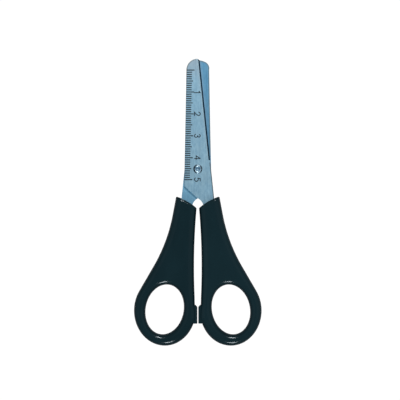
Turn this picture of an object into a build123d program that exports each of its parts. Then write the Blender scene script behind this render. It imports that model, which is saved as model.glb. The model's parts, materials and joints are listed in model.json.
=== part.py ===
"""School scissors, 131 mm long, with a centimetre scale on the upper blade.

Two stamped steel blades turn on one semi-tubular rivet, and each blade's tang is moulded into a
plastic handle with a finger loop. The two halves are built alike, and the lower one is turned over
about the long axis: only the tips and the pivot holes differ, and the upper blade alone has the
scale. The upper blade goes to the right handle, so they are for the left hand.

Millimetres. Each half is drawn round the pivot: the origin is on the rivet's axis, in the plane
where the blades meet, with +Y towards the tips and +Z out of the upper blade. to_row() then sets
the object on its handles, with its origin at the middle of its footprint.
"""

from build123d import *
from math import hypot
import os

# Overall shape, as heights above (+) or below (-) the pivot along the scissors
TIP_Y = 50.25
LOOP_BOTTOM_Y = -80.75
HANDLE_THICKNESS = 8.0
HALF_THICKNESS = HANDLE_THICKNESS / 2
PIVOT_Y = -(TIP_Y + LOOP_BOTTOM_Y) / 2

# Blades
BLADE_THICKNESS = 1.5
BLADE_GAP = 0.05
EDGE_TOP = (0.85, 49.6)
EDGE_SLOPE = 0.1047
SPINE_TOP = (-5.2, 45.2)
SPINE_MIDDLE = (-5.7, 18.0)
HEEL = (-6.25, -7.75)
UPPER_TIP = ((-3.9, 48.6), (-0.8, TIP_Y), (0.15, 50.1), EDGE_TOP[1])
LOWER_TIP = ((-4.6, 47.9), (-2.85, 49.1), (-0.8, 49.6), 49.35)
RUN_OUT_Y = 4.0
STEEP_BEVEL_WIDTH = 0.55
SHALLOW_BEVEL_WIDTH = 0.75
SHALLOW_BEVEL_DROP = 0.15
STAMPED_RADIUS = 0.2
PIVOT_HOLE_RADIUS = 1.5
RUNNING_CLEARANCE = 0.05

# Throat between the blades and the handles, and the tang hidden in the handle
THROAT_TOP = (0.1, -13.5)
THROAT_SIDE = (1.6, -14.75)
THROAT_FOOT = (2.6, -17.0)
TANG_INNER = (5.5, -43.0)
TANG_OUTER = (10.1, -42.5)
TANG_SHOULDER_Y = -16.0
TANG_HOLES = ((6.2, -24.0), (7.2, -34.0))
TANG_HOLE_RADIUS = 1.2
TANG_CORNER_RADIUS = 1.5

# Scale on the upper blade
SCALE_ZERO_Y = 45.1
SCALE_LENGTH = 50
MARK_DEPTH = 0.05
MARK_WIDTH = 0.5
MARK_INSET = 0.1
CM_MARK, HALF_CM_MARK, MM_MARK = 3.6, 3.0, 2.45
NUMERAL_STROKE = 0.42
NUMERAL_BASE_X = -1.5

# Handle outline
NECK_INNER = (0.55, -17.9)
NECK_END_MIDDLE = (5.3, -14.5)
NECK_OUTER = (9.9, -12.55)
NECK_STRAIGHT_END = (11.5, -21.0)
NECK_CURVE_END = (20.55, -45.0)
NECK_INNER_MIDDLE = (1.69, -40.5)
NECK_OVERRUN = 8.0
LOOP_CENTRE = (15.07, -64.7)
LOOP_RADII = (14.1, -64.7 - LOOP_BOTTOM_Y)
LOOP_INNER_ANGLE, LOOP_OUTER_ANGLE = 184.5, 393.3
HOLE_CENTRE = (15.15, -64.2)
HOLE_RADII = (8.65, 11.45)
HOLE_TILT = 11.5
EDGE_RADIUS = 2.2
NECK_END_RADIUS = 0.5

# Stop lug on the inner side of each loop
LUG_GAP = 0.45
LUG_TOP_Y, LUG_BOTTOM_Y = -62.2, -70.4
LUG_CHAMFER = 0.9
LUG_THICKNESS = 5.2
LUG_DEPTH = 3.0
LUG_CORNER_RADIUS = 0.35

# Rivet
RIVET_HEAD_RADIUS = 2.6
RIVET_HEAD_HEIGHT = 0.85
RIVET_HEAD_RIM = 0.25
CLINCH_RADIUS = 2.05
CLINCH_CREST_RADIUS = 1.45
CLINCH_HEIGHT = 0.46
CLINCH_RIM = 0.08
BORE_RADIUS = 0.95
BORE_DEPTH = 2.0
BORE_CONE = 0.55
CLINCH_CLEARANCE = 0.03

BLADE_BOTTOM = BLADE_GAP / 2
BLADE_TOP = BLADE_BOTTOM + BLADE_THICKNESS


def to_row(shape):
    """Moves a shape from the pivot's frame to the object's own frame."""
    return Pos(0, PIVOT_Y, HALF_THICKNESS) * shape


def turned_over(shape):
    """The other half's copy of a shape: half a turn about the long axis."""
    return Rot(0, 180, 0) * shape


def edge_x(y):
    """The cutting edge runs dead straight from the tip into the handle."""
    return EDGE_TOP[0] + EDGE_SLOPE * (EDGE_TOP[1] - y)


def spine_x(y):
    """The spine's place at a height, on the arc through its three points."""
    (x1, y1), (x2, y2), (x3, y3) = SPINE_TOP, SPINE_MIDDLE, HEEL
    return (
        x1 * (y - y2) * (y - y3) / ((y1 - y2) * (y1 - y3))
        + x2 * (y - y1) * (y - y3) / ((y2 - y1) * (y2 - y3))
        + x3 * (y - y1) * (y - y2) / ((y3 - y1) * (y3 - y2))
    )


def blade_outline(tip):
    """Blade and tang in plan. tip gives the shoulder, crown and nose, and where the edge begins."""
    shoulder, crown, nose, edge_top_y = tip
    edge_top = (edge_x(edge_top_y), edge_top_y)
    edge_end = (edge_x(TANG_SHOULDER_Y), TANG_SHOULDER_Y)
    lines = [
        ThreePointArc(HEEL, SPINE_MIDDLE, SPINE_TOP),
        ThreePointArc(SPINE_TOP, shoulder, crown),
        ThreePointArc(crown, nose, edge_top),
        Polyline(edge_top, edge_end, TANG_OUTER, TANG_INNER, THROAT_FOOT),
        ThreePointArc(THROAT_FOOT, THROAT_SIDE, THROAT_TOP),
        Line(THROAT_TOP, HEEL),
    ]
    face = make_face(lines)
    tang_end = face.vertices().sort_by(Axis.Y)[:2]
    return fillet(tang_end, TANG_CORNER_RADIUS)


def edge_grind():
    """What the grinder takes off: a steep face down to the edge, and a shallow one above it."""
    length = hypot(1, EDGE_SLOPE)
    along = Vector(EDGE_SLOPE / length, -1 / length, 0)
    outward = Vector(1 / length, EDGE_SLOPE / length, 0)
    past_tip = 3.0
    start = Vector(*EDGE_TOP, BLADE_BOTTOM) - along * past_tip
    section = Plane(origin=start, x_dir=outward, z_dir=along)
    shallow_height = BLADE_THICKNESS - SHALLOW_BEVEL_DROP
    lean = STEEP_BEVEL_WIDTH / shallow_height
    clear = 2.0
    cut = Polyline(
        (clear, -clear),
        (lean * clear, -clear),
        (-STEEP_BEVEL_WIDTH, shallow_height),
        (-STEEP_BEVEL_WIDTH - SHALLOW_BEVEL_WIDTH, BLADE_THICKNESS),
        (-STEEP_BEVEL_WIDTH - SHALLOW_BEVEL_WIDTH, BLADE_THICKNESS + clear),
        (clear, BLADE_THICKNESS + clear),
        close=True,
    )
    reach = past_tip + (EDGE_TOP[1] - RUN_OUT_Y) * length
    return extrude(section * make_face(cut), reach)


def blade(tip, hole_radius):
    """One blade with its tang, as the upper blade lies."""
    body = Pos(0, 0, BLADE_BOTTOM) * extrude(blade_outline(tip), BLADE_THICKNESS)
    outer_face = body.faces().sort_by(Axis.Z)[-1]
    spine_and_tip = [e for e in outer_face.edges().filter_by(GeomType.CIRCLE) if e.center().Y > HEEL[1]]
    body = fillet(spine_and_tip, STAMPED_RADIUS)
    body -= edge_grind()
    for x, y, radius in [(0, 0, hole_radius)] + [(*p, TANG_HOLE_RADIUS) for p in TANG_HOLES]:
        body -= Pos(x, y, 0) * Cylinder(radius, 4 * BLADE_THICKNESS)
    return body


def numeral_strokes(digit):
    """The pen strokes of a digit, standing on the origin."""
    if digit == 1:
        return [Polyline((0.0, 2.05), (0.6, 2.6), (0.6, 0.0))]
    if digit == 2:
        return [
            ThreePointArc((0.05, 1.95), (0.85, 2.6), (1.6, 1.9)),
            ThreePointArc((1.6, 1.9), (1.2, 1.1), (0.0, 0.0)),
            Line((0.0, 0.0), (1.65, 0.0)),
        ]
    if digit == 3:
        return [CenterArc((0.7, 2.0), 0.6, 160, -250), CenterArc((0.7, 0.7), 0.7, 90, -250)]
    if digit == 4:
        return [Polyline((1.25, 2.6), (0.0, 0.75), (1.75, 0.75)), Line((1.25, 0.0), (1.25, 2.6))]
    bowl = CenterArc((0.8, 0.85), 0.85, 130, -275)
    return [Polyline((1.5, 2.6), (0.4, 2.6), bowl @ 0), bowl]


def numeral(digit):
    """A digit in plan, its top towards the cutting edge and its middle level with the origin."""
    pieces = [make_face(Wire(line.edges()).offset_2d(NUMERAL_STROKE / 2)) for line in numeral_strokes(digit)]
    face = Sketch() + pieces
    middle = face.bounding_box().center()
    return Rot(0, 0, -90) * Pos(-middle.X, 0, 0) * face


def scale_marks(plain_blade):
    """The filled marks and numerals of the scale, from the tip towards the pivot."""
    floor = BLADE_TOP - MARK_DEPTH
    faces = []
    for millimetre in range(SCALE_LENGTH + 1):
        y = SCALE_ZERO_Y - millimetre
        if millimetre % 10 == 0:
            length = CM_MARK
        elif millimetre % 5 == 0:
            length = HALF_CM_MARK
        else:
            length = MM_MARK
        start = spine_x(y) + MARK_INSET
        faces.append(Pos(start + length / 2, y) * Rectangle(length, MARK_WIDTH))
    for digit in range(1, SCALE_LENGTH // 10 + 1):
        faces += (Pos(NUMERAL_BASE_X, SCALE_ZERO_Y - 10 * digit) * numeral(digit)).faces()
    return [plain_blade & Pos(0, 0, floor) * extrude(face, BLADE_THICKNESS) for face in faces]


def neck_end_tool():
    """Everything beyond the neck's curved end."""
    far = 30.0
    end = ThreePointArc(NECK_INNER, NECK_END_MIDDLE, NECK_OUTER)
    left, right = NECK_INNER[0] - far, NECK_OUTER[0] + far
    slope_left = (end % 0).Y / (end % 0).X
    slope_right = (end % 1).Y / (end % 1).X
    left_y = NECK_INNER[1] - far * slope_left
    right_y = NECK_OUTER[1] + far * slope_right
    sides = Polyline(NECK_OUTER, (right, right_y), (right, far), (left, far), (left, left_y), NECK_INNER)
    return extrude(make_face([end, sides]), far, both=True)


def handle_outline():
    """The handle in plan without its stop lug, with the neck running on past its end."""
    loop = EllipticalCenterArc(
        LOOP_CENTRE,
        *LOOP_RADII,
        start_angle=LOOP_INNER_ANGLE,
        arc_size=LOOP_OUTER_ANGLE - LOOP_INNER_ANGLE,
    )
    down_neck = (Vector(*NECK_STRAIGHT_END) - Vector(*NECK_OUTER)).normalized()
    neck_top_outer = Vector(*NECK_OUTER) - down_neck * NECK_OVERRUN
    inner_side = Spline(loop @ 0, NECK_INNER_MIDDLE, NECK_INNER)
    neck_top_inner = (inner_side @ 1) + (inner_side % 1) * NECK_OVERRUN
    lines = [
        Line(neck_top_outer, NECK_STRAIGHT_END),
        TangentArc(NECK_STRAIGHT_END, NECK_CURVE_END, tangent=down_neck),
        Line(NECK_CURVE_END, loop @ 1),
        loop,
        inner_side,
        Polyline(inner_side @ 1, neck_top_inner, neck_top_outer),
    ]
    hole = Pos(*HOLE_CENTRE) * Rot(0, 0, HOLE_TILT) * Ellipse(*HOLE_RADII)
    return make_face(lines) - hole


def stop_lug():
    """The lug that meets its twin when the scissors close."""
    face_x = LUG_GAP / 2
    root_x = face_x + LUG_DEPTH
    outline = Polyline(
        (root_x, LUG_TOP_Y),
        (face_x + LUG_CHAMFER, LUG_TOP_Y),
        (face_x, LUG_TOP_Y - LUG_CHAMFER),
        (face_x, LUG_BOTTOM_Y),
        (root_x, LUG_BOTTOM_Y),
        close=True,
    )
    lug = extrude(make_face(outline), LUG_THICKNESS / 2, both=True)
    stop_edges = [e for e in lug.edges() if e.center().X < face_x + LUG_CHAMFER / 2]
    return fillet(stop_edges, LUG_CORNER_RADIUS)


def handle(tang):
    """The moulded handle on the same side as the cutting edge, shaped round the blade's tang."""
    body = extrude(handle_outline(), HALF_THICKNESS, both=True)
    rims = body.faces().filter_by(Axis.Z).edges()
    body = fillet(rims, EDGE_RADIUS)
    body -= neck_end_tool()
    neck_end = body.faces().sort_by(Axis.Y)[-1]
    body = fillet(neck_end.outer_wire().edges(), NECK_END_RADIUS)
    return body + stop_lug() - tang


def pivot_rivet():
    """Semi-tubular rivet: a low head under the lower blade, its rolled end over the upper one."""
    seat = BLADE_TOP + CLINCH_CLEARANCE
    crest = seat + CLINCH_HEIGHT
    bore_floor = crest - BORE_DEPTH
    rim = seat + CLINCH_RIM
    head_face = -BLADE_TOP
    head_end = head_face - RIVET_HEAD_HEIGHT
    head_rim = head_face - RIVET_HEAD_RIM
    profile = [
        Polyline((0, head_end), (0, bore_floor - BORE_CONE), (BORE_RADIUS, bore_floor), (BORE_RADIUS, rim)),
        ThreePointArc((BORE_RADIUS, rim), (CLINCH_CREST_RADIUS, crest), (CLINCH_RADIUS, rim)),
        Polyline(
            (CLINCH_RADIUS, rim),
            (CLINCH_RADIUS, seat),
            (PIVOT_HOLE_RADIUS, seat),
            (PIVOT_HOLE_RADIUS, head_face),
            (RIVET_HEAD_RADIUS, head_face),
            (RIVET_HEAD_RADIUS, head_rim),
        ),
        TangentArc((0, head_end), (RIVET_HEAD_RADIUS, head_rim), tangent=(1, 0)),
    ]
    return revolve(Plane.XZ * make_face(profile), Axis.Z)


def main():
    plain_blade = blade(UPPER_TIP, PIVOT_HOLE_RADIUS + RUNNING_CLEARANCE)
    marks = scale_marks(plain_blade)
    rear_blank = blade(LOWER_TIP, PIVOT_HOLE_RADIUS)
    nodes = {
        "front_blade": plain_blade - marks,
        "rear_blade": turned_over(rear_blank),
        "right_handle": handle(plain_blade),
        "left_handle": turned_over(handle(rear_blank)),
        "pivot_rivet": pivot_rivet(),
        "scale_marks": Compound([mark.solid() for mark in marks]),
    }
    os.makedirs("parts", exist_ok=True)
    for name, shape in nodes.items():
        export_step(to_row(shape), f"parts/{name}.step")


main()
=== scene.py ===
"""School scissors, seen from straight above on a white table.

The steel blades and the filled scale are the CAD nodes with steel and ink materials. The moulded
handles are built here as finer meshes, from the CAD handles' own outlines, and so is the rolled
rivet, from its profile. Metres throughout, in the frame of the CAD model; MM turns a size in
millimetres into metres.
"""

import json
import math

import bmesh
import bpy
import numpy as np
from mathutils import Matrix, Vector
from mathutils.geometry import delaunay_2d_cdt


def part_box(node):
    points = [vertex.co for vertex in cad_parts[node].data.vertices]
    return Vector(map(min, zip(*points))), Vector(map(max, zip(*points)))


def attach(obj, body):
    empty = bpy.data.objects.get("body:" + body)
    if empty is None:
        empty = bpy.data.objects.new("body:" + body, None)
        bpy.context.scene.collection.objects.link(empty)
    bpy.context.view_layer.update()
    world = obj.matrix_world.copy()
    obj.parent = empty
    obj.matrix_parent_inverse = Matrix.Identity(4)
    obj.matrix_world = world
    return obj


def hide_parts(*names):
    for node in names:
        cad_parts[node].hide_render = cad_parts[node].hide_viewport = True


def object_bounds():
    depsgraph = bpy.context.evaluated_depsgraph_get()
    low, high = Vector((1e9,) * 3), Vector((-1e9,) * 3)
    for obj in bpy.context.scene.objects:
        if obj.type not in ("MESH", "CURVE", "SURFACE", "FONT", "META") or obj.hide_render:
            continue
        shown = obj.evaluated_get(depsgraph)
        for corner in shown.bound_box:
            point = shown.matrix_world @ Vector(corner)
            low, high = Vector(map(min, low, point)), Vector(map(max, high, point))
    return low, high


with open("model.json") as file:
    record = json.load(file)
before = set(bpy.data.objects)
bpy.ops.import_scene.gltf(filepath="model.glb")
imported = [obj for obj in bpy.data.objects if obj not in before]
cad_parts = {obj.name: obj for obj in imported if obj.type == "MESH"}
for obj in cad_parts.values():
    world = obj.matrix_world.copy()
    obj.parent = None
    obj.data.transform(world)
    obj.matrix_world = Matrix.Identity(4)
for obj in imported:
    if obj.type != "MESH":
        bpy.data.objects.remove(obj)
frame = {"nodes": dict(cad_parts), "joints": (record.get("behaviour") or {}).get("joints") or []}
cad_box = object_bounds()

MM = 0.001
MM_PER_METRE = 1e3
SAME_POINT = 1e-7
NODES = frame["nodes"]
PIVOT = Vector(frame["joints"][0]["pos_m"])
PARTING_Z = PIVOT.z

# Handles
SECTION_Z = 2.205 * MM          # a level where the handles' sides are upright and clear of the tangs
OUTLINE_GAP = 0.05 * MM
OUTLINE_STEP = 0.3 * MM
RING_DEPTHS = (0.02, 0.06, 0.12, 0.2, 0.3, 0.42, 0.56, 0.74, 0.96, 1.22, 1.52, 1.86, 2.24)  # mm
RINGS_ALIKE = 5                 # every so many rings, the points lie further apart along the ring
RING_TOLERANCE = 0.93           # the share of its depth that a ring's point has to keep
FILL_STEP = 0.42 * MM
EDGE_SOFTNESS = 1.35 * MM       # how far in the rounding of the moulding's edges reaches
CROWN_SOFTNESS = 4.0 * MM       # and how far the slow crown of its broad faces does
CROWN_SHARE = 0.2
END_RADIUS = 0.5 * MM
END_REACH = 6.5 * MM
END_FACING = 0.7                # the neck's end faces the tips at least this squarely
WALL_STEPS = 4                  # faces from top to bottom of the neck's end
CDT_EPSILON = 1e-6
SOLVER_ACCURACY = 1e-16
SOLVER_STEPS = 4000
LUG_REACH = 0.75 * MM           # the outline this close to the lug's face belongs to the lug
LOOP_FOOT = 9.0 * MM            # the lug begins at least this far above the loop's lowest point
LUG_THICKNESS = 5.2 * MM
LUG_CHAMFER = 0.9 * MM
LUG_RADIUS = 0.35 * MM
LUG_ROOT = 3.0 * MM             # how far the lug reaches from its face into the loop
LUG_ROUNDING_STEPS = 4

# Blades, drawn round the pivot for the upper blade as it lies. Points are (x, y) in millimetres,
# and those of the spine are its distances from the axis.
EDGE_AT_PIVOT = 6.043 * MM
EDGE_SLOPE = 0.1047
STEEP_BEVEL = 0.68 * MM
SHALLOW_BEVEL = 1.3 * MM
RUN_OUT = 4.0 * MM
SPINE = ((5.2, 45.2), (5.7, 18.0), (6.25, -7.75))
FRONT_SHOULDER = ((-5.2, 45.2), (-3.9, 48.6), (-0.8, 50.25))
REAR_SHOULDER = ((-5.2, 45.2), (-4.6, 47.9), (-2.85, 49.1))
REAR_TOP = ((-2.85, 49.1), (-0.8, 49.6))
RIM_BAND = 0.7 * MM
FRONT_RIM_CORE, REAR_RIM_CORE = 0.4 * RIM_BAND, 0.5 * RIM_BAND
REFLECTION_BAND = 1.3 * MM
LOW_EDGE_SHADE_BAND, LOW_EDGE_SHADE_CORE = 0.6 * MM, 0.25 * MM
OUT_OF_PLAY = 1.0               # a distance far larger than any band

# Heights above the pivot where each band of painted light or shade, and the lighter root, begins, and
# where it is at its full strength
PAINTED_TIPWARD_SHADE_FROM_TO = 8 * MM, 26 * MM
PAINTED_TIP_LIGHT_FROM_TO = 38 * MM, 50 * MM
PAINTED_GRIND_HIGHLIGHT_FROM_TO = RUN_OUT, RUN_OUT + 3 * MM
PAINTED_LOW_EDGE_SHADE_FROM_TO = RUN_OUT, RUN_OUT - 2 * MM
FRONT_RIM_SHADE_FROM_TO = 40 * MM, 46 * MM
REAR_RIM_SHADE_FROM_TO = 2 * MM, 12 * MM
PAINTED_REAR_REFLECTION_FROM_TO = 6 * MM, 30 * MM
LIGHTER_ROOT_FROM_TO = 2 * MM, -9 * MM

# Rivet
HEAD_RADIUS = 2.6 * MM
HEAD_RIM = 0.25 * MM
SHANK_RADIUS = 1.5 * MM
CLINCH_RADIUS = 2.05 * MM
CLINCH_CLEARANCE = 0.03 * MM
CLINCH_RIM = 0.08 * MM
BORE_RADIUS = 0.95 * MM
BORE_DEPTH = 2.0 * MM
BORE_CONE = 0.5 * MM
BORE_FOOT = 0.2 * MM            # height and width of the chamfer at the bore's foot
BORE_FOOT_WIDTH = 0.15 * MM
DOME_STEPS = 12
DOME_POWER = 1.6
ROLL_STEPS = 16
RIVET_SEGMENTS = 96
SHARP_ANGLE = math.radians(35)
SHADE_SHIFT = 0.1 * MM         # the painted shade lies a little off the rivet's axis, to the right and below
BORE_SHADE_SHIFT = 0.25 * MM
SIDE_SHADE_RANGE = CLINCH_RADIUS - 0.74 * MM, CLINCH_RADIUS - 0.5 * MM
BORE_SHADE_RANGE = BORE_RADIUS + 0.25 * MM, BORE_RADIUS

# Grain of the surfaces, in features per metre along x, y and z
FINE_LINES = (9000, 260, 900)
STREAKS = (2200, 60, 300)
MOTTLE = (900, 500, 900)
CLOUDS = (190, 120, 190)
ROLLED_GRAIN = (700, 700, 2000)
INK_WEAR = (1600, 1600, 1600)
MOULD_GRAIN = (6500, 6500, 6500)
MOULD_FLOW = (60, 28, 60)

# Heights of the grains
SATIN_DEPTH = 0.02 * MM
ROLLED_DEPTH = 0.03 * MM
INK_DEPTH = 0.02 * MM
MOULD_DEPTH = 0.02 * MM
PARTING_LINE = (0.04 * MM, 0.1 * MM)

# Tones of the steel. A layer over another colour is a tone and the strength that it covers with.
# The blue tint of both steels is partly painted reflection of a bluish room
FRONT_STEEL = {
    "dark": (0.34, 0.53, 0.67, 1), "light": (0.65, 0.85, 0.95, 1),
    "cloud": (0.54, 0.66, 0.72, 1),
}
# Painted shade and reflection: the lower blade's tones are a darker, bluer copy of the same steel
REAR_STEEL = {
    "dark": (0.14, 0.34, 0.52, 1), "light": (0.27, 0.54, 0.74, 1),
    "cloud": (0.21, 0.38, 0.50, 1),
}
# Painted shade: grey bands along the rims of the blades, for the look of their rolled edges
FRONT_RIM_SHADE = (0.34, 0.36, 0.36, 1), 0.85
REAR_RIM_SHADE = (0.24, 0.31, 0.35, 1), 0.85
# Painted shade: the upper blade darker towards its tip
PAINTED_TIPWARD_SHADE = (0.30, 0.50, 0.64, 1), 0.22
# Painted light: the upper blade's tip lighter and greyer
PAINTED_TIP_LIGHT = (0.54, 0.52, 0.54, 1), 0.55
# Painted shade: a dark band along the cutting edge below the grind
PAINTED_LOW_EDGE_SHADE = (0.13, 0.13, 0.13, 1), 0.85
# Painted highlight on the shallow grind beside the edge
PAINTED_GRIND_HIGHLIGHT = (0.74, 0.86, 0.92, 1), 0.45
# Painted reflection: a lighter band on the lower blade beside the upper blade's edge
PAINTED_REAR_REFLECTION = (0.36, 0.52, 0.66, 1), 0.55
# The lower blade lighter and bluer towards its root
LIGHTER_ROOT = (0.50, 0.80, 0.98, 1), 0.6
# Painted shade: near black on the steep grind, for its dark reflection and the shadow at the edge
PAINTED_BEVEL_SHADE = (0.001, 0.03, 0.06, 1), 0.97

# Tones of the rivet, the scale's fill and the plastic
RIVET_TONES = (0.56, 0.70, 0.80, 1), (0.84, 0.93, 0.97, 1)
# Painted shade in the rivet's bore and on its rolled end's outer slope
RIVET_BORE_SHADE = (0.30, 0.44, 0.56, 1), 0.75
RIVET_SIDE_SHADE = (0.002, 0.016, 0.040, 1), 0.92
INK_TONES = (0.006, 0.014, 0.022, 1), (0.05, 0.08, 0.1, 1)
PLASTIC_TONES = (0.0062, 0.0182, 0.0220, 1), (0.0084, 0.0232, 0.0278, 1)
PARTING_TONE = (0.03, 0.055, 0.065, 1), 0.5

# Table, light and camera
TABLE_SIDE = 3.0
TABLE_GAP = 0.1 * MM
TABLE_TONE = 0.3
TABLE_WHITE = 1.05
ROOM_COLOUR = (0.5, 0.82, 1.0, 1)
ROOM_LIGHT = 0.22
LIGHT_COLOUR = (0.85, 0.95, 1.0)
LIGHT_DISTANCE = 1.0
SOFTBOXES = (                   # name, degrees off the vertical, azimuth, width, depth, watts
    ("front_softbox", 46, 174.5, 0.21, 0.22, 3.9),
    ("back_softbox", 34, 8, 0.18, 0.26, 4.7),
    ("right_softbox", 42, 90, 0.5, 1.2, 0.25),
    ("left_softbox", 42, 270, 0.5, 1.2, 0.25),
)
CAMERA_LENS = 200
CAMERA_SENSOR = 36
CAMERA_RANGE = (0.01, 10)
OBJECT_SHARE = 0.7166           # the object's length over the height of the picture
AIM_X, AIM_Y = 1.0 * MM, 1.05 * MM


# ---------------------------------------------------------------- outlines of the handles

def section_loops(node, level):
    """Closed outlines of a CAD node at a level, as arrays of points in the plane."""
    bm = bmesh.new()
    bm.from_mesh(NODES[node].data)
    bmesh.ops.remove_doubles(bm, verts=bm.verts, dist=SAME_POINT)
    geometry = bm.verts[:] + bm.edges[:] + bm.faces[:]
    cut = bmesh.ops.bisect_plane(bm, geom=geometry, plane_co=(0, 0, level), plane_no=(0, 0, 1))
    edges = {e for e in cut["geom_cut"] if isinstance(e, bmesh.types.BMEdge)}
    loops = []
    while edges:
        edge = edges.pop()
        first, current = edge.verts
        loop = [first.co.copy(), current.co.copy()]
        while current is not first:
            edge = next(e for e in current.link_edges if e in edges)
            edges.remove(edge)
            current = edge.other_vert(current)
            loop.append(current.co.copy())
        loops.append(from_its_top(np.array([(p.x, p.y) for p in loop[:-1]])))
    bm.free()
    return sorted(loops, key=lambda loop: -abs(signed_area(loop)))


def from_its_top(loop):
    """The loop anticlockwise from its highest point, so that every run divides it alike."""
    if signed_area(loop) < 0:
        loop = loop[::-1]
    return np.roll(loop, -int(np.lexsort(loop.T)[-1]), axis=0)


def signed_area(loop):
    """The area inside a closed loop, negative where the loop runs clockwise."""
    x, y = loop.T
    return 0.5 * float(np.sum(x * np.roll(y, -1) - np.roll(x, -1) * y))


def thinned(loop, gap):
    """The loop without the points that are closer than gap to the one before."""
    kept = [loop[0]]
    for point in loop[1:]:
        if np.hypot(*(point - kept[-1])) > gap:
            kept.append(point)
    if np.hypot(*(kept[0] - kept[-1])) <= gap:
        kept.pop()
    return np.array(kept)


def smooth_loop(loop, step):
    """Points about step apart along the smooth closed curve through the loop's points."""
    before, start, end, after = (np.roll(loop, shift, axis=0) for shift in (1, 0, -1, -2))
    smooth = []
    for p0, p1, p2, p3 in zip(before, start, end, after):
        t1 = np.hypot(*(p1 - p0)) ** 0.5
        t2 = t1 + np.hypot(*(p2 - p1)) ** 0.5
        t3 = t2 + np.hypot(*(p3 - p2)) ** 0.5
        count = max(1, round(float(np.hypot(*(p2 - p1))) / step))
        for t in np.linspace(t1, t2, count, endpoint=False):
            a1 = (t1 - t) / t1 * p0 + t / t1 * p1
            a2 = (t2 - t) / (t2 - t1) * p1 + (t - t1) / (t2 - t1) * p2
            a3 = (t3 - t) / (t3 - t2) * p2 + (t - t2) / (t3 - t2) * p3
            b1 = (t2 - t) / t2 * a1 + t / t2 * a2
            b2 = (t3 - t) / (t3 - t1) * a2 + (t - t1) / (t3 - t1) * a3
            smooth.append((t2 - t) / (t2 - t1) * b1 + (t - t1) / (t2 - t1) * b2)
    return np.array(smooth)


def inward_normals(loop, is_outer):
    """Unit normals that point into the material."""
    tangent = np.roll(loop, -1, axis=0) - np.roll(loop, 1, axis=0)
    tangent /= np.linalg.norm(tangent, axis=1)[:, None]
    normal = np.column_stack((-tangent[:, 1], tangent[:, 0]))
    turns_left = signed_area(loop) > 0
    return normal if turns_left == is_outer else -normal


def distance_to(points, loop, closed=True):
    """Each point's distance to a polyline."""
    a = loop if closed else loop[:-1]
    b = np.roll(loop, -1, axis=0) if closed else loop[1:]
    along = b - a
    length2 = np.maximum(np.sum(along * along, axis=1), 1e-18)
    nearest = np.full(len(points), np.inf)
    for start in range(0, len(points), 2000):
        p = points[start:start + 2000, None, :]
        t = np.clip(np.sum((p - a) * along, axis=2) / length2, 0, 1)
        gap = p - (a + t[..., None] * along)
        nearest[start:start + 2000] = np.sqrt(np.min(np.sum(gap * gap, axis=2), axis=1))
    return nearest


def inside(points, loop):
    """Whether each point is inside a closed loop."""
    x, y = points.T
    ax, ay = loop.T
    bx, by = np.roll(loop, -1, axis=0).T
    crossings = np.zeros(len(points), int)
    for x1, y1, x2, y2 in zip(ax, ay, bx, by):
        spans = (y1 > y) != (y2 > y)
        if spans.any():
            crossings += spans & (x < x1 + (y - y1) * (x2 - x1) / (y2 - y1))
    return crossings % 2 == 1


# ---------------------------------------------------------------- the moulded surface

def soft_field(points, triangles, held, reach):
    """A field that is 1 at the held points and dies away over about reach, smooth everywhere.

    It solves field = reach squared times the field's Laplacian on the triangles, by conjugate gradients.
    """
    a, b, c = (points[triangles[:, i]] for i in range(3))
    area2 = np.abs((b - a)[:, 0] * (c - a)[:, 1] - (b - a)[:, 1] * (c - a)[:, 0])
    rows, cols, stiffness = [], [], []
    for i in range(3):
        p, q, r = (points[triangles[:, (i + k) % 3]] for k in range(3))
        cotangent = np.sum((q - p) * (r - p), axis=1) / np.maximum(area2, 1e-16)
        rows.append(triangles[:, (i + 1) % 3])
        cols.append(triangles[:, (i + 2) % 3])
        stiffness.append(cotangent / 2)
    rows, cols, weight = np.concatenate(rows), np.concatenate(cols), np.concatenate(stiffness)
    count = len(points)
    mass = np.bincount(triangles.ravel(), np.repeat(area2 / 6, 3), count)
    diagonal = mass + reach ** 2 * (np.bincount(rows, weight, count) + np.bincount(cols, weight, count))

    def applied(field):
        across = np.bincount(rows, weight * field[cols], count)
        back = np.bincount(cols, weight * field[rows], count)
        return diagonal * field - reach ** 2 * (across + back)

    free = ~held
    field = held.astype(float)
    residual = np.where(free, -applied(field), 0.0)
    step = residual / diagonal
    search = step.copy()
    energy = residual @ step
    target = energy * SOLVER_ACCURACY
    for _ in range(SOLVER_STEPS):
        pushed = np.where(free, applied(search), 0.0)
        amount = energy / (search @ pushed)
        field += amount * search
        residual -= amount * pushed
        step = residual / diagonal
        new_energy = residual @ step
        if new_energy < target:
            break
        search = step + new_energy / energy * search
        energy = new_energy
    return field


def handle_plan(node):
    """A handle in plan: its outline without the lug, its finger hole, and the lug's own outline."""
    outline, hole = [thinned(loop, OUTLINE_GAP) for loop in section_loops(node, SECTION_Z)[:2]]
    low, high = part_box(node)
    side = 1 if low.x + high.x > 0 else -1
    face_x = low.x if side > 0 else high.x
    from_face = np.abs(outline[:, 0] - face_x)
    loop_half = outline[:, 1] < (low.y + high.y) / 2
    on_lug = loop_half & (from_face < LUG_REACH) & (outline[:, 1] > low.y + LOOP_FOOT)
    on_face = on_lug & (from_face < LUG_RADIUS / 4)
    face_low = outline[on_face, 1].min() - LUG_RADIUS
    face_high = outline[on_face, 1].max()
    lug = [
        (face_x + side * LUG_ROOT, face_high + LUG_CHAMFER),
        (face_x + side * LUG_CHAMFER, face_high + LUG_CHAMFER),
        (face_x, face_high),
        (face_x, face_low),
        (face_x + side * LUG_ROOT, face_low),
    ]
    return smooth_loop(outline[~on_lug], OUTLINE_STEP), smooth_loop(hole, OUTLINE_STEP), lug


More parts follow.
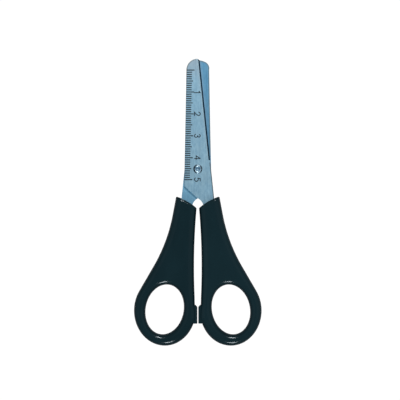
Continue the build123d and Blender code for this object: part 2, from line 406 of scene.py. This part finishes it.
def fill_points(outline, hole):
    """Points inside the plan: rings that close up towards the edges, and an even fill between."""
    rings = []
    for loop, is_outer in ((outline, True), (hole, False)):
        normals = inward_normals(loop, is_outer)
        for number, depth in enumerate(RING_DEPTHS):
            every = 1 + number // RINGS_ALIKE
            rings.append(loop[::every] + (normals * depth * MM)[::every])
    deepest = RING_DEPTHS[-1] * MM
    low, high = outline.min(axis=0), outline.max(axis=0)
    xs = np.arange(low[0], high[0], FILL_STEP)
    ys = np.arange(low[1], high[1], FILL_STEP * math.sqrt(3) / 2)
    grid = np.array([(x + FILL_STEP / 2 * (row % 2), y) for row, y in enumerate(ys) for x in xs])
    grid = grid[inside(grid, outline) & ~inside(grid, hole)]
    reach = np.minimum(distance_to(grid, outline), distance_to(grid, hole))
    kept = [grid[reach > deepest + FILL_STEP / 2]]
    for ring, depth in zip(rings, RING_DEPTHS * 2):
        reach = np.minimum(distance_to(ring, outline), distance_to(ring, hole))
        deep_enough = reach > RING_TOLERANCE * depth * MM
        kept.append(ring[deep_enough & inside(ring, outline) & ~inside(ring, hole)])
    return np.vstack(kept)


def triangulated(outline, hole):
    """Points and triangles of a handle in plan. The outline's points come first, then the hole's."""
    points = np.vstack((outline, hole, fill_points(outline, hole)))
    edges = [(i, (i + 1) % len(outline)) for i in range(len(outline))]
    edges += [(len(outline) + i, len(outline) + (i + 1) % len(hole)) for i in range(len(hole))]
    in_mm = [Vector(p) * MM_PER_METRE for p in points.tolist()]
    verts, _, faces, _, _, _ = delaunay_2d_cdt(in_mm, edges, [], 0, CDT_EPSILON)
    if len(verts) != len(points):
        print("the triangulation joined or added points", len(verts), len(points))
    points = np.array([(v.x, v.y) for v in verts]) / MM_PER_METRE
    triangles = np.array(faces)
    centres = points[triangles].mean(axis=1)
    return points, triangles[inside(centres, outline) & ~inside(centres, hole)]


def half_height(points, triangles, held, end_line):
    """How far the handle rises over the parting plane: rounded at its rims, and at the neck's end."""
    edge = soft_field(points, triangles, held, EDGE_SOFTNESS)
    crown = soft_field(points, triangles, held, CROWN_SOFTNESS)
    field = np.clip((1 - CROWN_SHARE) * edge + CROWN_SHARE * crown, 0, 1)
    rise = PARTING_Z * np.sqrt(1 - field ** 2)
    to_end = np.clip(distance_to(points, end_line, closed=False), 0, END_RADIUS)
    sunk = END_RADIUS - np.sqrt(END_RADIUS ** 2 - (END_RADIUS - to_end) ** 2)
    rise -= sunk * np.minimum(1, rise / END_RADIUS)
    rise[held] = 0
    return rise


def end_wall(points, rise, below, at_end, rim, coords):
    """Faces of the neck's upright end, between the upper and lower skins. Adds its points to coords."""
    columns = {}
    for i in np.flatnonzero(at_end):
        column = [i]
        for step in range(1, WALL_STEPS):
            share = 1 - 2 * step / WALL_STEPS
            coords.append((points[i][0], points[i][1], PARTING_Z + share * rise[i]))
            column.append(len(coords) - 1)
        columns[i] = column + [below[i]]
    faces = []
    for i in range(rim):
        j = (i + 1) % rim
        if i not in columns and j not in columns:
            continue
        left = columns.get(i, [i] * (WALL_STEPS + 1))
        right = columns.get(j, [j] * (WALL_STEPS + 1))
        for k in range(WALL_STEPS):
            corners = (left[k], right[k], right[k + 1], left[k + 1])
            face = tuple(dict.fromkeys(int(c) for c in corners))
            if len(face) > 2:
                faces.append(face)
    return faces


def moulded_handle(node, name):
    """One handle as a closed, finely divided mesh, rounded and crowned as moulded plastic is."""
    outline, hole, lug = handle_plan(node)
    points, triangles = triangulated(outline, hole)
    rim = len(outline) + len(hole)
    top_y = outline[:, 1].max()
    outward = -inward_normals(outline, True)
    at_end = np.zeros(len(points), bool)
    at_end[:len(outline)] = (outward[:, 1] > END_FACING) & (outline[:, 1] > top_y - END_REACH)
    held = np.zeros(len(points), bool)
    held[:rim] = ~at_end[:rim]
    rise = half_height(points, triangles, held, outline[at_end[:len(outline)]])

    count = len(points)
    below = np.where(held, np.arange(count), count + np.arange(count))
    coords = [(x, y, PARTING_Z + z) for (x, y), z in zip(points, rise)]
    coords += [(x, y, PARTING_Z - z) for (x, y), z in zip(points, rise)]
    faces = [tuple(t) for t in triangles] + [tuple(below[t[::-1]]) for t in triangles]
    faces += end_wall(points, rise, below, at_end, len(outline), coords)

    mesh = bpy.data.meshes.new(name)
    mesh.from_pydata(coords, [], [tuple(int(i) for i in f) for f in faces])
    closed_and_smooth(mesh)
    obj = bpy.data.objects.new(name, mesh)
    bpy.context.scene.collection.objects.link(obj)
    with_lug(obj, lug)
    return obj


def closed_and_smooth(mesh):
    """Drops unused points, points the normals outwards and shades the mesh smooth."""
    bm = bmesh.new()
    bm.from_mesh(mesh)
    bmesh.ops.delete(bm, geom=[v for v in bm.verts if not v.link_faces], context="VERTS")
    bmesh.ops.recalc_face_normals(bm, faces=bm.faces)
    for face in bm.faces:
        face.smooth = True
    bm.to_mesh(mesh)
    bm.free()


def with_lug(obj, plan):
    """Joins the stop lug, a rounded block on the given plan, to a handle."""
    bm = bmesh.new()
    base = [bm.verts.new((x, y, PARTING_Z - LUG_THICKNESS / 2)) for x, y in plan]
    bottom = bm.faces.new(base)
    grown = bmesh.ops.extrude_face_region(bm, geom=[bottom])
    moved = [v for v in grown["geom"] if isinstance(v, bmesh.types.BMVert)]
    bmesh.ops.translate(bm, verts=moved, vec=(0, 0, LUG_THICKNESS))
    bmesh.ops.recalc_face_normals(bm, faces=bm.faces)
    bmesh.ops.bevel(
        bm, geom=bm.edges[:], offset=LUG_RADIUS, segments=LUG_ROUNDING_STEPS, profile=0.5,
        affect="EDGES", clamp_overlap=True,
    )
    for face in bm.faces:
        face.smooth = True
    mesh = bpy.data.meshes.new("lug")
    bm.to_mesh(mesh)
    bm.free()
    lug = bpy.data.objects.new("lug", mesh)
    bpy.context.scene.collection.objects.link(lug)
    joint = obj.modifiers.new("lug", "BOOLEAN")
    joint.operation = "UNION"
    joint.solver = "EXACT"
    joint.object = lug
    graph = bpy.context.evaluated_depsgraph_get()
    joined = bpy.data.meshes.new_from_object(obj.evaluated_get(graph))
    obj.modifiers.clear()
    obj.data = joined
    bpy.data.objects.remove(lug)


# ---------------------------------------------------------------- the rivet

def rivet_profile():
    """Half section of the rivet from the head's middle round to the bore's floor, as (radius, z)."""
    low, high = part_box("pivot_rivet")
    head_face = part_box("rear_blade")[0].z
    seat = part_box("front_blade")[1].z + CLINCH_CLEARANCE
    head_rim = head_face - HEAD_RIM
    points = []
    for i in range(DOME_STEPS + 1):
        share = i / DOME_STEPS
        angle = math.radians(90) * share
        z = head_rim - (head_rim - low.z) * math.cos(angle) ** DOME_POWER
        points.append((HEAD_RADIUS * math.sin(angle), z))
    points += [(HEAD_RADIUS, head_face), (SHANK_RADIUS, head_face), (SHANK_RADIUS, seat)]
    middle = (CLINCH_RADIUS + BORE_RADIUS) / 2
    half = (CLINCH_RADIUS - BORE_RADIUS) / 2
    rim = seat + CLINCH_RIM
    for i in range(ROLL_STEPS + 1):
        angle = math.pi * i / ROLL_STEPS
        points.append((middle + half * math.cos(angle), rim + (high.z - rim) * math.sin(angle)))
    floor = high.z - BORE_DEPTH
    points += [(BORE_RADIUS, floor + BORE_FOOT), (BORE_RADIUS - BORE_FOOT_WIDTH, floor)]
    points += [(0, floor - BORE_CONE)]
    return points


def turned(name, profile, segments):
    """A solid of revolution about the pivot's axis. The profile starts and ends on the axis."""
    bm = bmesh.new()
    rings = []
    for radius, z in profile:
        if radius < SAME_POINT:
            rings.append([bm.verts.new((PIVOT.x, PIVOT.y, z))])
            continue
        ring = []
        for i in range(segments):
            angle = 2 * math.pi * i / segments
            x, y = PIVOT.x + radius * math.cos(angle), PIVOT.y + radius * math.sin(angle)
            ring.append(bm.verts.new((x, y, z)))
        rings.append(ring)
    for ring, following in zip(rings, rings[1:]):
        for i in range(segments):
            j = (i + 1) % segments
            near, far = ring[i % len(ring)], ring[j % len(ring)]
            over_far, over_near = following[j % len(following)], following[i % len(following)]
            corners = list(dict.fromkeys((near, far, over_far, over_near)))
            if len(corners) > 2:
                bm.faces.new(corners)
    bmesh.ops.recalc_face_normals(bm, faces=bm.faces)
    for face in bm.faces:
        face.smooth = True
    for edge in bm.edges:
        if len(edge.link_faces) == 2 and edge.calc_face_angle() > SHARP_ANGLE:
            edge.smooth = False
    mesh = bpy.data.meshes.new(name)
    bm.to_mesh(mesh)
    bm.free()
    obj = bpy.data.objects.new(name, mesh)
    bpy.context.scene.collection.objects.link(obj)
    return obj


# ---------------------------------------------------------------- materials

class Shader:
    """A material's node tree, with short calls for the nodes that the materials here share."""

    def __init__(self, name):
        self.material = bpy.data.materials.new(name)
        self.material.use_nodes = True
        self.tree = self.material.node_tree
        self.bsdf = self.tree.nodes["Principled BSDF"]
        self.place = self.add("ShaderNodeTexCoord").outputs["Object"]
        self.axes = self.add("ShaderNodeSeparateXYZ", Vector=self.place).outputs

    def add(self, kind, **inputs):
        """Adds a node and sets or links its inputs by name."""
        node = self.tree.nodes.new(kind)
        for key, value in inputs.items():
            self.feed(node.inputs[key.replace("_", " ")], value)
        return node

    def feed(self, socket, value):
        """Links a node's output to the socket, or sets the socket to a number or colour."""
        if isinstance(value, bpy.types.NodeSocket):
            self.tree.links.new(value, socket)
        else:
            socket.default_value = value

    def math(self, operation, *values):
        """One step of arithmetic on numbers or outputs."""
        node = self.tree.nodes.new("ShaderNodeMath")
        node.operation = operation
        for socket, value in zip(node.inputs, values):
            self.feed(socket, value)
        return node.outputs[0]

    def times(self, first, second):
        """The product of two numbers or outputs."""
        return self.math("MULTIPLY", first, second)

    def length(self, x, y):
        """Length of the vector (x, y)."""
        return self.math("SQRT", self.math("ADD", self.times(x, x), self.times(y, y)))

    def step(self, value, start, end):
        """0 at start and 1 at end, smooth between and level beyond. The end may be the lower one."""
        node = self.tree.nodes.new("ShaderNodeMapRange")
        node.interpolation_type = "SMOOTHSTEP"
        for key, number in (("Value", value), ("From Min", start), ("From Max", end)):
            self.feed(node.inputs[key], number)
        return node.outputs[0]

    def spread(self, value, low, high):
        """A 0 to 1 value spread over low to high."""
        return self.add("ShaderNodeMapRange", Value=value, To_Min=low, To_Max=high).outputs[0]

    def noise(self, scale, detail, roughness):
        """Noise with its own scale along each axis, in features per metre."""
        stretched = self.add("ShaderNodeMapping", Vector=self.place, Scale=scale).outputs[0]
        noise = self.add(
            "ShaderNodeTexNoise", Vector=stretched, Scale=1.0, Detail=detail, Roughness=roughness,
        )
        return noise.outputs["Fac"]

    def mix(self, share, first, second):
        """The first colour with a share of the second."""
        node = self.tree.nodes.new("ShaderNodeMix")
        node.data_type = "RGBA"
        share_socket, first_socket, second_socket = node.inputs[0], node.inputs[6], node.inputs[7]
        self.feed(share_socket, share)
        self.feed(first_socket, first)
        self.feed(second_socket, second)
        return node.outputs[2]

    def cover(self, under, where, tone, strength):
        """The under colour, covered by the tone with this strength wherever where is 1."""
        return self.mix(self.times(where, strength), under, tone)

    def bump(self, height, strength, distance):
        """A normal that follows a 0 to 1 height, whose full range is the distance."""
        return self.add("ShaderNodeBump", Height=height, Strength=strength, Distance=distance).outputs[0]

    def set(self, **inputs):
        """Sets or links the surface's inputs by name, and gives the finished material."""
        for key, value in inputs.items():
            self.feed(self.bsdf.inputs[key.replace("_", " ")], value)
        return self.material


def circle_through(points):
    """Centre and radius of the circle through three points."""
    (ax, ay), (bx, by), (cx, cy) = points
    d = 2 * (ax * (by - cy) + bx * (cy - ay) + cx * (ay - by))
    a2, b2, c2 = ax * ax + ay * ay, bx * bx + by * by, cx * cx + cy * cy
    x = (a2 * (by - cy) + b2 * (cy - ay) + c2 * (ay - by)) / d
    y = (a2 * (cx - bx) + b2 * (ax - cx) + c2 * (bx - ax)) / d
    return x, y, math.hypot(ax - x, ay - y)


def inside_spine(s, across, up):
    """Distance in from the spine, whose line is the quadratic through three of its points."""
    xs, ys = zip(*SPINE)
    square, slope, level = np.polyfit(ys, xs, 2)
    curve = s.times(s.times(up, up), square / MM)
    line = s.math("MULTIPLY_ADD", up, slope, level * MM)
    return s.math("ADD", across, s.math("ADD", curve, line))


def inside_shoulder(s, across, up, points):
    """Distance in from the rounded shoulder, and far more than a band's width where it has no say."""
    x, y, radius = (value * MM for value in circle_through(points))
    over, above = s.math("SUBTRACT", across, x), s.math("SUBTRACT", up, y)
    beside = s.math("LESS_THAN", across, points[2][0] * MM)
    in_play = s.times(s.math("GREATER_THAN", above, 0.0), beside)
    elsewhere = s.math("SUBTRACT", OUT_OF_PLAY, in_play)
    return s.math("MAXIMUM", s.math("SUBTRACT", radius, s.length(over, above)), elsewhere)


def inside_top(s, across, up, points):
    """Distance down from the tip's flat top, and far more than a band's width where it has no say."""
    (x0, y0), (x1, y1) = points
    slope = (y1 - y0) / (x1 - x0)
    line = s.math("MULTIPLY_ADD", across, slope, (y0 - slope * x0) * MM)
    elsewhere = s.math("LESS_THAN", across, x0 * MM)
    return s.math("MAXIMUM", s.math("SUBTRACT", line, up), elsewhere)


def edge_line(s, up):
    """How far from the axis the upper blade's cutting edge is at a height."""
    return s.math("MULTIPLY_ADD", up, -EDGE_SLOPE, EDGE_AT_PIVOT)


def front_blade_painted_light(s, colour, across, up, to_edge):
    """The upper blade's painted light and shade: darker towards its tip, lighter and greyer at the tip
    itself, a painted highlight on its grind, and painted shade at its edge below the grind and at its
    rim.
    """
    colour = s.cover(colour, s.step(up, *PAINTED_TIPWARD_SHADE_FROM_TO), *PAINTED_TIPWARD_SHADE)
    colour = s.cover(colour, s.step(up, *PAINTED_TIP_LIGHT_FROM_TO), *PAINTED_TIP_LIGHT)
    on_grind = s.math("LESS_THAN", to_edge, SHALLOW_BEVEL)
    colour = s.cover(colour, s.times(on_grind, s.step(up, *PAINTED_GRIND_HIGHLIGHT_FROM_TO)), *PAINTED_GRIND_HIGHLIGHT)
    at_edge = s.step(to_edge, LOW_EDGE_SHADE_BAND, LOW_EDGE_SHADE_CORE)
    colour = s.cover(colour, s.times(at_edge, s.step(up, *PAINTED_LOW_EDGE_SHADE_FROM_TO)), *PAINTED_LOW_EDGE_SHADE)
    rim = s.math("MINIMUM", inside_spine(s, across, up), inside_shoulder(s, across, up, FRONT_SHOULDER))
    at_rim = s.step(rim, RIM_BAND, FRONT_RIM_CORE)
    return s.cover(colour, s.times(at_rim, s.step(up, *FRONT_RIM_SHADE_FROM_TO)), *FRONT_RIM_SHADE)


def rear_blade_painted_light_and_root_tone(s, colour, across, up, over_edge):
    """The lower blade: a painted reflection beside the upper blade's edge, lighter and bluer at its
    root, and painted shade at its rims.
    """
    beside_edge = s.step(over_edge, REFLECTION_BAND, 0.0)
    colour = s.cover(colour, s.times(beside_edge, s.step(up, *PAINTED_REAR_REFLECTION_FROM_TO)), *PAINTED_REAR_REFLECTION)
    colour = s.cover(colour, s.step(up, *LIGHTER_ROOT_FROM_TO), *LIGHTER_ROOT)
    rim = s.math("MINIMUM", inside_spine(s, across, up), inside_shoulder(s, across, up, REAR_SHOULDER))
    rim = s.math("MINIMUM", rim, inside_top(s, across, up, REAR_TOP))
    at_rim = s.step(rim, RIM_BAND, REAR_RIM_CORE)
    return s.cover(colour, s.times(at_rim, s.step(up, *REAR_RIM_SHADE_FROM_TO)), *REAR_RIM_SHADE)


def blade_steel(name, front):
    """Satin steel: fine lines along the blade, a slight mottle, and painted shade on the steep grind of
    the edge.
    """
    s = Shader(name)
    x, y, _ = s.axes
    up = s.math("SUBTRACT", y, PIVOT.y)
    across = s.times(x, 1.0 if front else -1.0)
    to_edge = s.math("SUBTRACT", edge_line(s, up), across)

    fine = s.noise(FINE_LINES, 4.0, 0.6)
    streaks = s.noise(STREAKS, 3.0, 0.55)
    clouds = s.noise(CLOUDS, 4.0, 0.6)
    mottle = s.noise(MOTTLE, 3.0, 0.6)
    lined = s.math("ADD", s.times(fine, 0.3), s.times(streaks, 0.32))
    tone = s.math("ADD", lined, s.times(mottle, 0.38))
    tones = FRONT_STEEL if front else REAR_STEEL
    colour = s.mix(s.step(tone, 0.3, 0.7), tones["dark"], tones["light"])
    colour = s.mix(s.spread(s.step(clouds, 0.35, 0.75), 0.0, 0.4), colour, tones["cloud"])
    if front:
        colour = front_blade_painted_light(s, colour, across, up, to_edge)
    else:
        over_edge = s.math("SUBTRACT", x, edge_line(s, up))
        colour = rear_blade_painted_light_and_root_tone(s, colour, across, up, over_edge)

    # Paints the steep grind near black and a little rougher: painted shade for its dark reflection
    bevel_shade = s.times(s.math("LESS_THAN", to_edge, STEEP_BEVEL), s.math("GREATER_THAN", up, RUN_OUT))
    colour = s.cover(colour, bevel_shade, *PAINTED_BEVEL_SHADE)
    rough = s.math("ADD", s.spread(fine, 0.31, 0.45), s.times(bevel_shade, 0.12))
    height = s.math("ADD", fine, s.times(streaks, 0.6))
    return s.set(
        Base_Color=colour, Metallic=1.0, Roughness=rough,
        Normal=s.bump(height, 0.12, SATIN_DEPTH),
    )


def rivet_steel():
    """Rolled steel: bright on its crest, with painted shade in the bore and on its outer slope, thinner
    at the top and bottom of the slope as a painted reflection.
    """
    s = Shader("rolled_rivet_steel")
    x, y, z = s.axes
    over = s.math("SUBTRACT", x, PIVOT.x + SHADE_SHIFT)
    above = s.math("SUBTRACT", y, PIVOT.y - SHADE_SHIFT)
    out = s.length(over, above)
    lengthwise = s.math("DIVIDE", s.math("ABSOLUTE", above), out)
    # The painted side shade thins at the top and bottom of the slope: a painted reflection there
    reflection_gaps = s.times(s.step(lengthwise, 0.7, 0.97), 0.35)
    sides = s.times(s.step(out, *SIDE_SHADE_RANGE), s.math("SUBTRACT", 1.0, reflection_gaps))

    # Painted shade in the bore, a little off the axis to the right and below
    bore_x = s.math("SUBTRACT", x, PIVOT.x + BORE_SHADE_SHIFT)
    bore_y = s.math("SUBTRACT", y, PIVOT.y - BORE_SHADE_SHIFT)
    bore = s.step(s.length(bore_x, bore_y), *BORE_SHADE_RANGE)

    grain = s.noise(ROLLED_GRAIN, 3.0, 0.5)
    rolled_end = s.math("GREATER_THAN", z, PARTING_Z)
    colour = s.mix(grain, *RIVET_TONES)
    colour = s.cover(colour, s.times(bore, rolled_end), *RIVET_BORE_SHADE)
    colour = s.cover(colour, s.times(sides, rolled_end), *RIVET_SIDE_SHADE)
    rough = s.math("ADD", s.spread(grain, 0.3, 0.46), s.times(bore, 0.3))
    return s.set(
        Base_Color=colour, Metallic=1.0, Roughness=rough,
        Normal=s.bump(grain, 0.15, ROLLED_DEPTH),
    )


def scale_ink():
    """The dark fill of the scale, slightly worn and uneven."""
    s = Shader("etched_scale_fill")
    wear = s.noise(INK_WEAR, 4.0, 0.65)
    colour = s.mix(s.step(wear, 0.5, 0.8), *INK_TONES)
    return s.set(
        Base_Color=colour, Metallic=0.0, Roughness=s.spread(wear, 0.5, 0.75),
        Normal=s.bump(wear, 0.3, INK_DEPTH),
    )


def handle_plastic():
    """Dark moulded plastic: a semi-gloss skin with a faint grain, and a fine parting line."""
    s = Shader("dark_moulded_plastic")
    z = s.axes[2]
    grain = s.noise(MOULD_GRAIN, 2.0, 0.5)
    flow = s.noise(MOULD_FLOW, 3.0, 0.5)
    off_line = s.math("ABSOLUTE", s.math("SUBTRACT", z, PARTING_Z))
    line = s.math("SUBTRACT", 1.0, s.step(off_line, *PARTING_LINE))
    colour = s.mix(s.step(flow, 0.3, 0.7), *PLASTIC_TONES)
    colour = s.cover(colour, line, *PARTING_TONE)
    unevenness = s.math("ADD", s.times(grain, 0.6), s.times(flow, 0.4))
    rough = s.math("ADD", s.spread(unevenness, 0.1, 0.2), s.times(line, 0.15))
    height = s.math("ADD", s.times(grain, 0.35), s.times(line, -0.6))
    return s.set(
        Base_Color=colour, Roughness=rough, Specular_IOR_Level=0.25,
        Normal=s.bump(height, 0.02, MOULD_DEPTH),
    )


def wear_material(obj, material):
    """Gives the whole of a piece one material."""
    obj.data.materials.clear()
    obj.data.materials.append(material)


# ---------------------------------------------------------------- the object

right_moulding = moulded_handle("right_handle", "right_handle_moulding")
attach(right_moulding, "front_half")
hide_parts("right_handle")

left_moulding = moulded_handle("left_handle", "left_handle_moulding")
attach(left_moulding, "rear_half")
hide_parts("left_handle")

rolled_rivet = turned("rolled_rivet", rivet_profile(), RIVET_SEGMENTS)
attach(rolled_rivet, "rear_half")
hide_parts("pivot_rivet")

plastic = handle_plastic()
wear_material(right_moulding, plastic)
wear_material(left_moulding, plastic)
wear_material(rolled_rivet, rivet_steel())
wear_material(NODES["front_blade"], blade_steel("front_blade_satin_steel", True))
wear_material(NODES["rear_blade"], blade_steel("rear_blade_satin_steel", False))
wear_material(NODES["scale_marks"], scale_ink())


# ---------------------------------------------------------------- table, light and camera

def table_top():
    """A plain white table: pure white to the camera, and a soft grey in what the object reflects."""
    mesh = bpy.data.meshes.new("table_top")
    half = TABLE_SIDE / 2
    corners = [(-half, -half, 0), (half, -half, 0), (half, half, 0), (-half, half, 0)]
    mesh.from_pydata(corners, [], [(0, 1, 2, 3)])
    obj = bpy.data.objects.new("table_top", mesh)
    obj.location.z = -TABLE_GAP
    bpy.context.scene.collection.objects.link(obj)
    material = bpy.data.materials.new("white_table")
    material.use_nodes = True
    tree = material.node_tree
    shown = tree.nodes.new("ShaderNodeEmission")
    shown.inputs["Color"].default_value = (1, 1, 1, 1)
    shown.inputs["Strength"].default_value = TABLE_WHITE
    seen = tree.nodes.new("ShaderNodeBsdfDiffuse")
    seen.inputs["Color"].default_value = (TABLE_TONE, TABLE_TONE, TABLE_TONE, 1)
    ray = tree.nodes.new("ShaderNodeLightPath")
    choice = tree.nodes.new("ShaderNodeMixShader")
    tree.links.new(ray.outputs["Is Camera Ray"], choice.inputs[0])
    tree.links.new(seen.outputs[0], choice.inputs[1])
    tree.links.new(shown.outputs[0], choice.inputs[2])
    tree.links.new(choice.outputs[0], tree.nodes["Material Output"].inputs["Surface"])
    mesh.materials.append(material)


def surroundings():
    """A dim, slightly cool room, seen as plain white behind the object."""
    world = bpy.data.worlds.new("studio")
    bpy.context.scene.world = world
    world.use_nodes = True
    tree = world.node_tree
    room = tree.nodes["Background"]
    room.inputs["Color"].default_value = ROOM_COLOUR
    room.inputs["Strength"].default_value = ROOM_LIGHT
    backdrop = tree.nodes.new("ShaderNodeBackground")
    backdrop.inputs["Color"].default_value = (1, 1, 1, 1)
    ray = tree.nodes.new("ShaderNodeLightPath")
    choice = tree.nodes.new("ShaderNodeMixShader")
    tree.links.new(ray.outputs["Is Camera Ray"], choice.inputs[0])
    tree.links.new(room.outputs[0], choice.inputs[1])
    tree.links.new(backdrop.outputs[0], choice.inputs[2])
    tree.links.new(choice.outputs[0], tree.nodes["World Output"].inputs["Surface"])


def softbox(name, off_vertical, azimuth, width, depth, power):
    """An area light over the object: its angle off the vertical, and the way it stands, in degrees."""
    light = bpy.data.lights.new(name, "AREA")
    light.shape = "RECTANGLE"
    light.size, light.size_y = width, depth
    light.energy = power
    light.color = LIGHT_COLOUR
    obj = bpy.data.objects.new(name, light)
    tilt, turn = math.radians(off_vertical), math.radians(azimuth)
    back = Vector((math.sin(tilt) * math.sin(turn), math.sin(tilt) * math.cos(turn), math.cos(tilt)))
    obj.location = back * LIGHT_DISTANCE
    obj.rotation_mode = "QUATERNION"
    obj.rotation_quaternion = (-back).to_track_quat("-Z", "Y")
    bpy.context.scene.collection.objects.link(obj)


def overhead_camera():
    """Straight down from far off. The field's height is set by the share that the object fills."""
    camera = bpy.data.cameras.new("overhead")
    camera.lens = CAMERA_LENS
    camera.sensor_width = CAMERA_SENSOR
    low, high = cad_box
    field = (high.y - low.y) / OBJECT_SHARE
    distance = field * CAMERA_LENS / CAMERA_SENSOR
    obj = bpy.data.objects.new("overhead", camera)
    middle = (low + high) / 2
    obj.location = (middle.x + AIM_X, middle.y + AIM_Y, PARTING_Z + distance)
    camera.clip_start, camera.clip_end = CAMERA_RANGE
    bpy.context.scene.collection.objects.link(obj)
    bpy.context.scene.camera = obj


table_top()
surroundings()
for box in SOFTBOXES:
    softbox(*box)
overhead_camera()
bpy.context.scene.view_settings.view_transform = "Standard"
